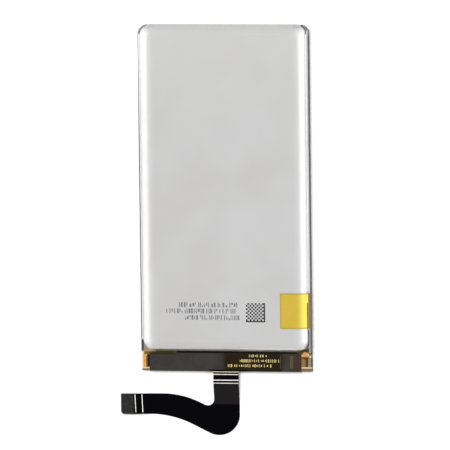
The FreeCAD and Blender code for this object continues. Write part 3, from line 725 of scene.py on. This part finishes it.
@dataclass
class Workshop:
    """Keeps the frame's nodes and one material for each finish, and turns meshes into finished pieces."""

    nodes: dict[str, Thing]
    made: dict[str, bpy.types.Material] = field(default_factory=dict)

    def material(self, finish: Finish) -> bpy.types.Material:
        """Hands out the material of a finish, made once.

        Args:
            finish: The finish.

        Returns:
            Its material.
        """
        if finish.name not in self.made:
            self.made[finish.name] = finish.material()
        return self.made[finish.name]

    def dress(self, finish: Finish, *names: str) -> None:
        """Gives nodes of the frame their finish.

        Args:
            finish: The finish that their slots take.
            names: The nodes' names.
        """
        for name in names:
            for slot in self.nodes[name].material_slots:
                slot.material = self.material(finish)
            LOG.info("dressed %s in %s", name, finish.name)

    def piece(self, name: str, mesh: Mesh, finish: Finish, slot: str) -> Thing:
        """Makes a finished piece that rides with the battery.

        Args:
            name: Name of the piece.
            mesh: Its mesh, in place; it is freed here.
            finish: Its finish.
            slot: The record's slot that it belongs to; not used.

        Returns:
            The piece.
        """
        bmesh.ops.recalc_face_normals(mesh, faces=mesh.faces)
        data = bpy.data.meshes.new(name)
        mesh.to_mesh(data)
        mesh.free()
        data.materials.append(self.material(finish))
        piece = bpy.data.objects.new(name, data)
        bpy.context.scene.collection.objects.link(piece)
        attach(piece, "root")
        LOG.info("made %s with %d faces", name, len(data.polygons))
        return piece


def add_bar(mesh: Mesh, low: Vector, high: Vector) -> None:
    """Adds a thin bar between two opposite corners. Sizes in millimetres.

    Args:
        mesh: The mesh that it is added to.
        low: Lowest corner.
        high: Highest corner.
    """
    middle = Matrix.Translation((low + high) / 2 * MM)
    size = Matrix.Diagonal((*((high - low) * MM), 1.0))
    bmesh.ops.create_cube(mesh, size=1.0, matrix=middle @ size)


def add_dot(mesh: Mesh, centre: Vector, radius: float, height: float) -> None:
    """Adds a thin round dot. Sizes in millimetres.

    Args:
        mesh: The mesh that it is added to.
        centre: Middle of its lower face.
        radius: Its radius.
        height: Its height.
    """
    place = Matrix.Translation((centre + Vector((0, 0, height / 2))) * MM)
    bmesh.ops.create_cone(
        mesh, cap_ends=True, segments=DOT_SIDES, radius1=radius * MM, radius2=radius * MM,
        depth=height * MM, matrix=place,
    )


def skin_of(node: Thing, low: Pair, high: Pair, thickness: float, slant: float = 0.0) -> Mesh:
    """Cuts a thin skin from a node's upper surface, to lie on it. Sizes in millimetres.

    Args:
        node: The frame node whose surface is followed.
        low: Lowest X and Y of the skin.
        high: Highest X and Y of the skin.
        thickness: Its thickness.
        slant: Turn of its left and right sides about their middles, in degrees.

    Returns:
        The closed skin.
    """
    middle = (low[1] + high[1]) / 2
    aside = Vector((math.cos(math.radians(slant)), math.sin(math.radians(slant)), 0))
    mesh = bmesh.new()
    mesh.from_mesh(node.data)
    bmesh.ops.remove_doubles(mesh, verts=mesh.verts, dist=WELD * MM)
    walls = [
        (Vector((low[0], middle, 0)), -aside),
        (Vector((high[0], middle, 0)), aside),
        (Vector((0, low[1], 0)), Vector((0, -1, 0))),
        (Vector((0, high[1], 0)), Vector((0, 1, 0))),
    ]
    for point, outward in walls:
        whole = mesh.verts[:] + mesh.edges[:] + mesh.faces[:]
        bmesh.ops.bisect_plane(mesh, geom=whole, plane_co=point * MM, plane_no=outward, clear_outer=True)
    mesh.normal_update()
    below = [face for face in mesh.faces if face.normal.z < UPWARD]
    bmesh.ops.delete(mesh, geom=below, context="FACES")
    raised = bmesh.ops.extrude_face_region(mesh, geom=mesh.faces[:])
    corners = [item for item in raised["geom"] if isinstance(item, bmesh.types.BMVert)]
    bmesh.ops.translate(mesh, verts=corners, vec=Vector((0, 0, thickness * MM)))
    return mesh


@dataclass(frozen=True)
class Ticks:
    """A style of plain upright ticks, which stand for no letter or figure. Sizes in millimetres.

    Attributes:
        stroke: Width of a narrow tick.
        ink: Thickness of the print.
        heights: Heights to choose from, as shares of the row's height.
        gaps: Spaces between ticks to choose from.
        lifts: Places of a short tick to choose from, 0 at the row's foot and 1 at its head; else the middle.
        widths: Widths to choose from, as shares of the stroke.
    """

    stroke: float
    ink: float
    heights: tuple[float, ...]
    gaps: tuple[float, ...]
    lifts: tuple[float, ...] = ()
    widths: tuple[float, ...] = (1.0, 1.0, 1.8)

    def row(self, chance: random.Random, start: Vector, right: float, height: float) -> Mesh:
        """Makes a row of ticks.

        Args:
            chance: The seeded source of its choices.
            start: Middle of the row's left end.
            right: X at which the row ends.
            height: Height of the row.

        Returns:
            The row's mesh.
        """
        mesh = bmesh.new()
        x = start.x
        while x < right:
            tall = height * chance.choice(self.heights)
            lift = chance.choice(self.lifts) if self.lifts else 0.5
            low = Vector((x, start.y - height / 2 + (height - tall) * lift, start.z))
            width = self.stroke * chance.choice(self.widths)
            add_bar(mesh, low, low + Vector((width, tall, self.ink)))
            x += width + chance.choice(self.gaps)
        return mesh


@dataclass
class Pouch:
    """The foil pouch: its finish, its seals' trim and the plain marks on its face. Sizes in millimetres.

    Attributes:
        beads: Name, lowest corner and highest corner of each pale strip in the gap beside a seal, painted
            light.
        corners: Name, side, wall and finish of each turned seal end.
        corner_heights: Foot of those ends, their top at the seal and their top at the plain end.
        rows: Left X, right X and middle Y of each row of ticks.
    """

    shop: Workshop
    beads: tuple[tuple[str, Triple, Triple], ...] = (
        ("left_seal_bead", (-23.76, -42.6, 2.3), (-23.5, 43.4, 2.6)),
        ("right_seal_bead", (23.18, -39.4, 2.8), (23.37, 43.4, 3.05)),
    )
    corners: tuple[tuple[str, int, float, Finish], ...] = (
        ("left_seal_corner", -1, 0.6, PALE_SHADED_CORNER),
        ("right_seal_corner", 1, 0.9, SHADED_FOIL_CORNER),
    )
    corner_reach: Pair = (23.96, 45.9)
    corner_radius: float = 2.3
    corner_heights: Triple = (0.12, 2.3, 0.7)
    corner_steps: int = 8
    ticks: Ticks = Ticks(
        stroke=0.27, ink=0.006,
        heights=(0.45, 0.7, 1.0, 1.0), gaps=(0.22, 0.28, 0.36, 0.62), lifts=(0.0, 0.5, 1.0),
    )
    rows: tuple[Triple, ...] = (
        (-12.97, 3.53, -32.4), (-16.57, 3.53, -34.15), (-11.27, 3.53, -36.0),
    )
    row_height: float = 1.35
    row_seed: int = 41
    square_low: Pair = (5.88, -37.2)
    square_side: float = 5.4
    square_rim: float = 0.36
    square_cells: int = 10
    square_fill: float = 0.98

    def top(self) -> float:
        """Height of the pouch's face in millimetres."""
        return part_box("pouch_cell")[1].z / MM

    def seal_beads(self) -> None:
        """Lays a narrow pale strip in the gap between each folded seal and the cup; it fills the gap, and its
        pale colour is painted light in place of the gap's shade.
        """
        for name, low, high in self.beads:
            mesh = bmesh.new()
            add_bar(mesh, Vector(low), Vector(high))
            self.shop.piece(name, mesh, PALE_GAP_FILL, "foil")

    def seal_corners(self) -> None:
        """Turns the end of each folded seal round the plain end's corner, as a bent bar."""
        sides = 4  # its long edges: outer low, outer top, inner top, inner low
        radius, (low, start, end) = self.corner_radius, self.corner_heights
        for name, side, wall, finish in self.corners:
            mesh = bmesh.new()
            bmesh.ops.create_grid(mesh, x_segments=self.corner_steps, y_segments=sides, size=0.5)
            for vert in mesh.verts:
                share, ring = vert.co.x + 0.5, round((vert.co.y + 0.5) * sides) % sides
                reach = radius - wall if ring in (2, 3) else radius
                x = self.corner_reach[0] - radius + reach * math.cos(share * math.pi / 2)
                y = self.corner_reach[1] - radius + reach * math.sin(share * math.pi / 2)
                z = start + (end - start) * share if ring in (1, 2) else low
                vert.co = Vector((side * x, y, z)) * MM
            bmesh.ops.remove_doubles(mesh, verts=mesh.verts, dist=WELD * MM)
            bmesh.ops.holes_fill(mesh, edges=mesh.edges, sides=sides)
            self.shop.piece(name, mesh, finish, "foil")

    def print_rows(self) -> None:
        """Prints three rows of plain ticks."""
        chance = random.Random(self.row_seed)
        for index, (left, right, middle) in enumerate(self.rows):
            mesh = self.ticks.row(chance, Vector((left, middle, self.top())), right, self.row_height)
            self.shop.piece(f"face_tick_row_{index + 1}", mesh, PRINT_GREY, "foil")

    def print_square(self) -> None:
        """Prints a square of plain chequers with a rim on two sides."""
        left, bottom = self.square_low
        side, rim = self.square_side, self.square_rim
        cell = (side - rim) / self.square_cells
        fill = cell * self.square_fill
        fields = [(left, bottom, side, rim), (left + side - rim, bottom + rim, rim, side - rim)]
        for row in range(self.square_cells):
            for column in range(row % 2, self.square_cells, 2):
                fields.append((left + column * cell, bottom + rim + row * cell, fill, fill))
        mesh = bmesh.new()
        for x, y, width, depth in fields:
            corner = Vector((x, y, self.top()))
            add_bar(mesh, corner, corner + Vector((width, depth, self.ticks.ink)))
        self.shop.piece("face_chequer_square", mesh, PRINT_DARK, "foil")

    def build(self) -> None:
        """Dresses the pouch, closes its seals and prints its face."""
        self.shop.dress(FOIL, "pouch_cell")
        self.seal_beads()
        self.seal_corners()
        self.print_rows()
        self.print_square()


@dataclass
class CircuitStrip:
    """The circuit strip on the sealed end: its finish, gold ticks, and a dull gold bar and a thin line that
    are painted glints. Sizes in millimetres.
    """

    shop: Workshop
    ticks: Ticks = Ticks(stroke=0.18, ink=0.006, heights=(0.6, 1.0, 1.0), gaps=(0.22, 0.28, 0.36, 0.6))
    rows: tuple[tuple[float, float, float, float], ...] = (
        (6.23, 11.03, -47.17, 0.7), (3.63, 14.83, -48.57, 0.85), (0.23, 13.03, -49.97, 0.85),
    )
    row_seed: int = 17
    glints: tuple[tuple[str, float, float], ...] = (
        ("strip_glint_bar", 18.2, 1.0), ("strip_glint_line", 15.1, 0.14),
    )
    glint_y: Pair = (-50.7, -47.1)

    def print_ticks(self) -> None:
        """Prints three rows of plain gold ticks."""
        chance = random.Random(self.row_seed)
        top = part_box("flex_circuit")[1].z / MM
        for index, (left, right, middle, height) in enumerate(self.rows):
            mesh = self.ticks.row(chance, Vector((left, middle, top)), right, height)
            self.shop.piece(f"strip_gold_ticks_{index + 1}", mesh, MARK_GOLD, "plated_contact")

    def lay_glints(self) -> None:
        """Adds the dull gold bar and the thin line near the strip's right end, painted glints on the glossy
        film.
        """
        circuit = self.shop.nodes["flex_circuit"]
        for name, x, width in self.glints:
            low, high = (x - width / 2, self.glint_y[0]), (x + width / 2, self.glint_y[1])
            skin = skin_of(circuit, low, high, self.ticks.ink)
            self.shop.piece(name, skin, GLINT_GOLD, "plated_contact")

    def build(self) -> None:
        """Dresses the strip and its board, and adds the marks."""
        self.shop.dress(CIRCUIT, "flex_circuit")
        self.shop.dress(BOARD, "protection_board")
        self.print_ticks()
        self.lay_glints()


@dataclass
class Tail:
    """The flexible tail: white stripes on its leg and arm, stiffener and plug. Sizes in millimetres."""

    shop: Workshop
    ink: float = 0.008
    leg_stripes: tuple[tuple[float, float, Finish], ...] = (
        (-51.84, -51.69, STRIPE_TAN), (-52.6, -52.38, STRIPE_WHITE),
        (-54.25, -53.98, STRIPE_WHITE), (-55.11, -54.86, STRIPE_WHITE),
    )
    leg: Pair = (-4.4, 3.4)
    arm: Pair = (-63.6, -58.55)
    arm_lines: tuple[Pair, ...] = ((-26.22, 0.2), (-24.28, 0.16))
    arm_line_slant: float = 2.4
    pits: tuple[Pair, ...] = ((-29.32, -61.3), (-28.67, -61.3))
    pit_radius: float = 0.16

    def stripes(self) -> None:
        """Lays the white stripes across the leg and the arm."""
        circuit = self.shop.nodes["flex_circuit"]
        for index, (low, high, finish) in enumerate(self.leg_stripes):
            skin = skin_of(circuit, (self.leg[0], low), (self.leg[1], high), self.ink)
            self.shop.piece(f"leg_stripe_{index + 1}", skin, finish, "flex_cover")
        for index, (x, width) in enumerate(self.arm_lines):
            half = width / 2
            low, high = (x - half, self.arm[0]), (x + half, self.arm[1])
            skin = skin_of(circuit, low, high, self.ink, self.arm_line_slant)
            self.shop.piece(f"arm_line_{index + 1}", skin, LINE_WHITE, "flex_cover")

    def end_pits(self) -> None:
        """Adds the two small dark dots on the stiffener, painted shade that stands for two pits."""
        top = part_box("tail_stiffener")[1].z / MM
        mesh = bmesh.new()
        for x, y in self.pits:
            add_dot(mesh, Vector((x, y, top)), self.pit_radius, self.ink)
        self.shop.piece("stiffener_pit_shade_dots", mesh, MOULDING, "stiffener")

    def build(self) -> None:
        """Dresses the stiffener and the plug, and adds the stripes and dots."""
        self.shop.dress(STIFFENER, "tail_stiffener")
        self.shop.dress(PLUG_PLASTIC, "connector_housing")
        self.shop.dress(GOLD_CONTACT, "connector_contacts", "connector_hold_downs")
        self.stripes()
        self.end_pits()


@dataclass
class Tapes:
    """The yellow patch, the amber wrap and its puckered corners. Sizes in millimetres.

    Attributes:
        fold_gather: How far the fold's edge on the strip is drawn together, as a share.
        fold_lean: How far that edge leans to the right.
        fold_reach: Share of the fold's depth that its left side has.
        fold_height: Height of the film on the strip.
        fold_rise: How much higher its left corner next to the cell is.
        fold_drop: How much lower its right side is.
    """

    shop: Workshop
    film: float = 0.06
    fold_low: Pair = (20.7, -47.75)
    fold_high: Pair = (23.1, -46.1)
    fold_steps: int = 8
    fold_gather: float = 0.45
    fold_lean: float = 0.15
    fold_reach: float = 0.35
    fold_height: float = 1.84
    fold_rise: float = 0.25
    fold_drop: float = 0.9
    fold_ripple: float = 0.05
    fold_waves: float = 9.0
    pucker_centre: Triple = (22.1, -47.0, 1.6)
    pucker_size: Triple = (1.2, 1.12, 0.45)
    pucker_turn: float = -35.0
    pucker_steps: tuple[int, int] = (20, 12)
    flaps: tuple[tuple[str, Pair, Pair, Finish], ...] = (
        ("right_highlight_flap", (22.9, -47.6), (23.8, -46.85), CREAM_HIGHLIGHT_FLAP),
        ("left_highlight_flap", (-23.65, -47.45), (-22.65, -46.85), YELLOW_HIGHLIGHT_FLAP),
    )

    def fold_point(self, across: float, along: float) -> Vector:
        """Places a point of the fold.

        Args:
            across: Its place from the fold's left side to its right, from 0 to 1.
            along: Its place from the edge on the strip to the one next to the cell, from 0 to 1.

        Returns:
            The point in millimetres.
        """
        width = self.fold_high[0] - self.fold_low[0]
        depth = self.fold_high[1] - self.fold_low[1]
        free, gather = 1.0 - along, self.fold_gather
        inward = 1.0 - free * (gather + (1.0 - gather) * math.sin(across * math.pi / 2))
        ripple = self.fold_ripple * math.sin(across * self.fold_waves) * free
        rise = self.fold_rise * along * (1.0 - across)
        return Vector((
            self.fold_low[0] + width * across * (1.0 - gather + gather * inward) + self.fold_lean * free,
            self.fold_high[1] - depth * free * (self.fold_reach + (1.0 - self.fold_reach) * across),
            self.fold_height + rise - self.fold_drop * across ** 3 + ripple,
        ))

    def corner_fold(self) -> None:
        """Makes the puckered corner of film that comes up over the strip's right end."""
        mesh = bmesh.new()
        bmesh.ops.create_grid(mesh, x_segments=self.fold_steps, y_segments=self.fold_steps, size=0.5)
        for vert in mesh.verts:
            vert.co = self.fold_point(vert.co.x + 0.5, vert.co.y + 0.5) * MM
        bmesh.ops.solidify(mesh, geom=mesh.faces[:], thickness=self.film * MM)
        self.shop.piece("right_corner_fold", mesh, COPPER_FOLD, "amber_tape")

    def corner_pucker(self) -> None:
        """Makes the rounded pucker of film at the strip's right end."""
        mesh = bmesh.new()
        around, down = self.pucker_steps
        turn = Matrix.Rotation(math.radians(self.pucker_turn), 4, "Z")
        place = Matrix.Translation(Vector(self.pucker_centre) * MM) @ turn
        shape = Matrix.Diagonal((*(Vector(self.pucker_size) * MM), 1.0))
        bmesh.ops.create_uvsphere(mesh, u_segments=around, v_segments=down, radius=1.0, matrix=place @ shape)
        self.shop.piece("right_corner_pucker", mesh, PUCKER_FILM, "amber_tape")

    def corner_flaps(self) -> None:
        """Lays a small pale flap on the wrap tape at each end of the strip; its pale colour is a painted
        highlight on the tape's fold.
        """
        wrap = self.shop.nodes["wrap_tape"]
        for name, low, high, finish in self.flaps:
            self.shop.piece(name, skin_of(wrap, low, high, self.film), finish, "amber_tape")

    def build(self) -> None:
        """Dresses the tapes and adds the fold, the pucker and the flaps."""
        self.shop.dress(YELLOW_TAPE, "side_tape")
        self.shop.dress(AMBER_WRAP, "wrap_tape")
        self.shop.dress(AMBER_FILM, "terrace_film")
        self.corner_fold()
        self.corner_pucker()
        self.corner_flaps()


@dataclass
class HiddenCircuit:
    """The parts between the sealed end and the board, each in its own finish."""

    shop: Workshop

    def build(self) -> None:
        """Dresses every hidden part."""
        self.shop.dress(FIBRE, "insulating_pad")
        self.shop.dress(ALUMINIUM, "positive_tab")
        self.shop.dress(NICKEL, "negative_tab", "positive_weld_plate", "negative_weld_plate")
        self.shop.dress(SEALING, "positive_tab_sealant", "negative_tab_sealant")
        self.shop.dress(MOULDING, "protection_chip", "switch_transistors", "thermal_fuse")
        self.shop.dress(CAPACITOR, "thermistor", "chip_capacitors")
        self.shop.dress(RESISTOR, "chip_resistors", "sense_resistor")


@dataclass
class Lamp:
    """A soft rectangular light.

    Attributes:
        name: Its name.
        place: Where it hangs, in metres.
        size: Its width and height in metres.
        power: Its power in watts.
        mirrored: Whether glossy surfaces reflect it.
    """

    name: str
    place: Vector
    size: Pair
    power: float
    mirrored: bool = True

    def build(self, target: Vector) -> None:
        """Hangs the light so that it faces a point.

        Args:
            target: The point that it faces.
        """
        data = bpy.data.lights.new(self.name, "AREA")
        data.shape = "RECTANGLE"
        data.size, data.size_y = self.size
        data.energy = self.power
        lamp = bpy.data.objects.new(self.name, data)
        lamp.location = self.place
        lamp.visible_glossy = self.mirrored
        lamp.rotation_mode = "QUATERNION"
        lamp.rotation_quaternion = (target - self.place).to_track_quat("-Z", "Y")
        bpy.context.scene.collection.objects.link(lamp)


@dataclass
class Studio:
    """Floor, lights and camera. Degrees and metres, but millimetres for lens, sensor and floor_drop."""

    shop: Workshop
    target: Vector = field(default_factory=lambda: Vector((-0.36, -10.50, 0.0)) * MM)
    tilt: float = 11.0
    azimuth: float = 45.0
    roll: float = -0.15
    distance: float = 2.0
    lens: float = 572.6
    sensor: float = 36.0
    clip: Pair = (0.1, 10.0)
    floor_side: float = 6.0
    floor_drop: float = 0.02
    surround: float = 0.69
    lamps: tuple[Lamp, ...] = (
        Lamp("key_above", Vector((-0.07, 0.30, 0.86)), (0.25, 0.25), 7.5, mirrored=False),
        Lamp("left_box", Vector((-0.70, 0.0, 0.36)), (0.8, 0.6), 1.95),
        Lamp("right_box", Vector((0.70, 0.0, 0.36)), (0.8, 0.6), 2.25),
    )

    def floor(self) -> None:
        """Lays the pale floor just under the battery."""
        mesh = bmesh.new()
        bmesh.ops.create_grid(mesh, x_segments=1, y_segments=1, size=self.floor_side / 2)
        bmesh.ops.translate(mesh, verts=mesh.verts, vec=Vector((0, 0, -self.floor_drop * MM)))
        data = bpy.data.meshes.new("floor")
        mesh.to_mesh(data)
        mesh.free()
        data.materials.append(self.shop.material(FLOOR))
        floor = bpy.data.objects.new("floor", data)
        bpy.context.scene.collection.objects.link(floor)

    def light(self) -> None:
        """Hangs the lamps and sets the even light of the room."""
        for lamp in self.lamps:
            lamp.build(self.target)
        world = bpy.data.worlds.new("studio")
        world.use_nodes = True
        background = world.node_tree.nodes["Background"]
        background.inputs["Color"].default_value = (self.surround, self.surround, self.surround, 1.0)
        bpy.context.scene.world = world
        bpy.context.scene.view_settings.view_transform = "Standard"

    def camera(self) -> None:
        """Sets up the camera at the photograph's viewing angle."""
        heading = math.radians(self.azimuth)
        axis = Vector((-math.sin(heading), math.cos(heading), 0.0))
        turn = Quaternion(axis, math.radians(self.tilt)) @ Quaternion((0, 0, 1), math.radians(self.roll))
        data = bpy.data.cameras.new("camera")
        data.lens = self.lens
        data.sensor_width = self.sensor
        data.clip_start, data.clip_end = self.clip
        camera = bpy.data.objects.new("camera", data)
        camera.rotation_mode = "QUATERNION"
        camera.rotation_quaternion = turn
        camera.location = self.target + turn @ Vector((0, 0, self.distance))
        bpy.context.scene.collection.objects.link(camera)
        bpy.context.scene.camera = camera

    def build(self) -> None:
        """Builds the whole studio."""
        self.floor()
        self.light()
        self.camera()


def main() -> None:
    """Loads the frame, dresses it, adds the fine pieces and sets up the picture."""
    logging.basicConfig(level=logging.INFO, format="%(name)s: %(message)s")
    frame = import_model()
    shop = Workshop(frame["nodes"])
    for sub_assembly in (Pouch, CircuitStrip, Tail, Tapes, HiddenCircuit, Studio):
        sub_assembly(shop).build()


if __name__ == "__main__":
    main()
